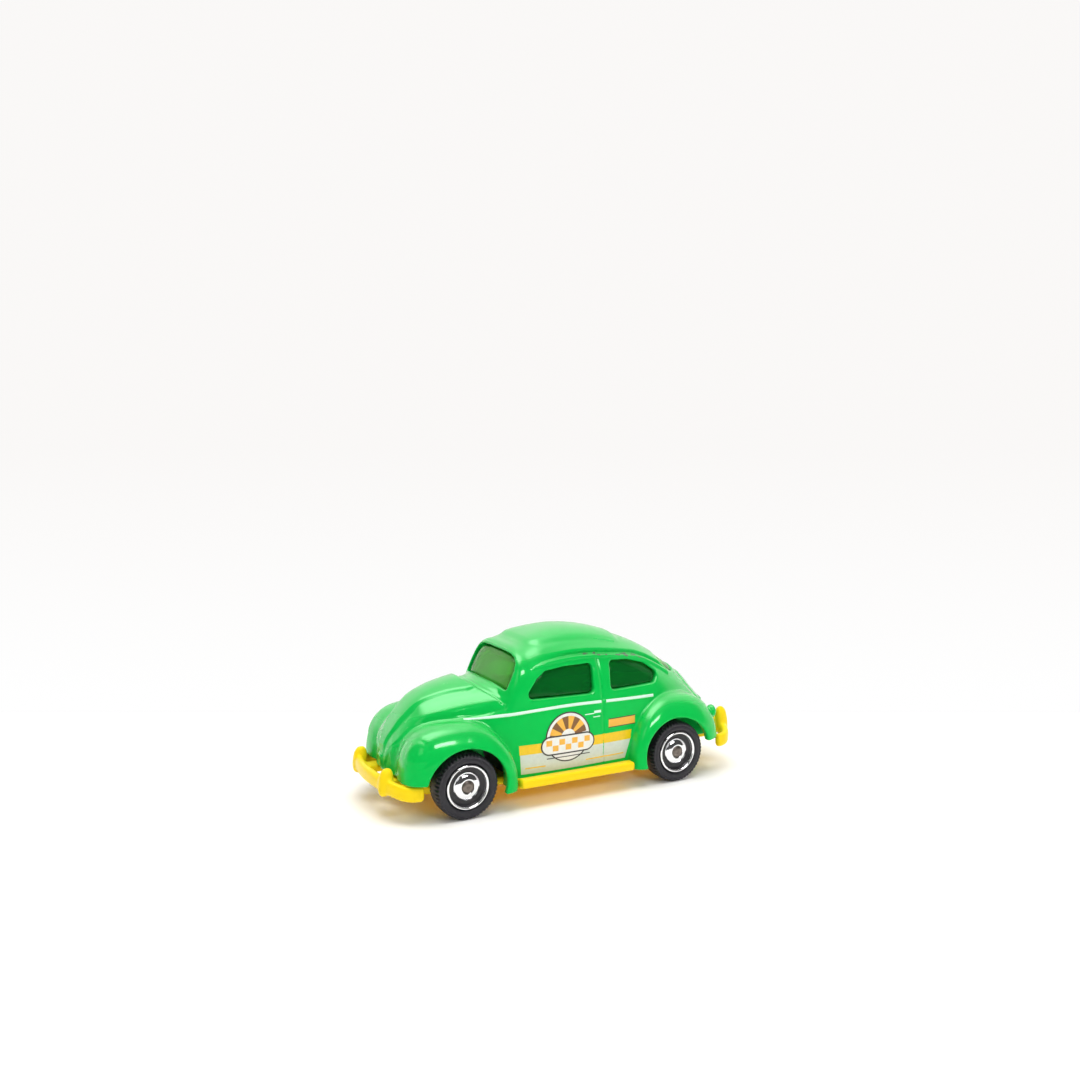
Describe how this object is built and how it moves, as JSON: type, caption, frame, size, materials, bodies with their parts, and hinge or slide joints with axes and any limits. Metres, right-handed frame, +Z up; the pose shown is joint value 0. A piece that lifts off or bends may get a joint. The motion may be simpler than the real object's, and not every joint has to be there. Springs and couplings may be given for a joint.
{
  "type": "die-cast toy car",
  "caption": "Die-cast toy saloon with a rounded painted shell, tinted window moulding, plastic base with bumpers and running boards, and free-rolling wheels on steel axles.",
  "frame": {"origin": "on the floor under the middle of the car's overall box, tyres standing on z = 0", "axes": "nose to -Y, car's left side to +X, +Z up; wheels and axles turn about X"},
  "size_m": [0.0264, 0.071, 0.029],
  "materials": {
    "paint": "gloss green enamel on zinc, worn at the drip rail",
    "tinted_window": "green tinted clear plastic",
    "tray_plastic": "dark grey moulded plastic",
    "base_plastic": "yellow moulded plastic, semi-gloss",
    "axle_steel": "drawn steel pin",
    "tyre": "hard black plastic tyre with notched shoulders",
    "hub_plated": "plated lip and cone over a black dish"
  },
  "bodies": {
    "chassis": {"body_shell": "paint", "window_insert": "tinted_window", "seat_tray": "tray_plastic", "base_plate": "base_plastic"},
    "front_axle": {"front_axle": "axle_steel"},
    "rear_axle": {"rear_axle": "axle_steel"},
    "wheel_front_left": {"tyre_front_left": "tyre", "hub_front_left": "hub_plated"},
    "wheel_front_right": {"tyre_front_right": "tyre", "hub_front_right": "hub_plated"},
    "wheel_rear_left": {"tyre_rear_left": "tyre", "hub_rear_left": "hub_plated"},
    "wheel_rear_right": {"tyre_rear_right": "tyre", "hub_rear_right": "hub_plated"}
  },
  "joints": [
    {"name": "front_axle_spin", "type": "hinge", "parent": "chassis", "child": "front_axle", "pos_m": [0, -0.02165, 0.0055], "axis": [1, 0, 0], "continuous": true},
    {"name": "rear_axle_spin", "type": "hinge", "parent": "chassis", "child": "rear_axle", "pos_m": [0, 0.01995, 0.0055], "axis": [1, 0, 0], "continuous": true},
    {"name": "wheel_front_left_spin", "type": "hinge", "parent": "front_axle", "child": "wheel_front_left", "pos_m": [0.01065, -0.02165, 0.0055], "axis": [1, 0, 0], "continuous": true},
    {"name": "wheel_front_right_spin", "type": "hinge", "parent": "front_axle", "child": "wheel_front_right", "pos_m": [-0.01065, -0.02165, 0.0055], "axis": [1, 0, 0], "continuous": true},
    {"name": "wheel_rear_left_spin", "type": "hinge", "parent": "rear_axle", "child": "wheel_rear_left", "pos_m": [0.01065, 0.01995, 0.0055], "axis": [1, 0, 0], "continuous": true},
    {"name": "wheel_rear_right_spin", "type": "hinge", "parent": "rear_axle", "child": "wheel_rear_right", "pos_m": [-0.01065, 0.01995, 0.0055], "axis": [1, 0, 0], "continuous": true}
  ]
}
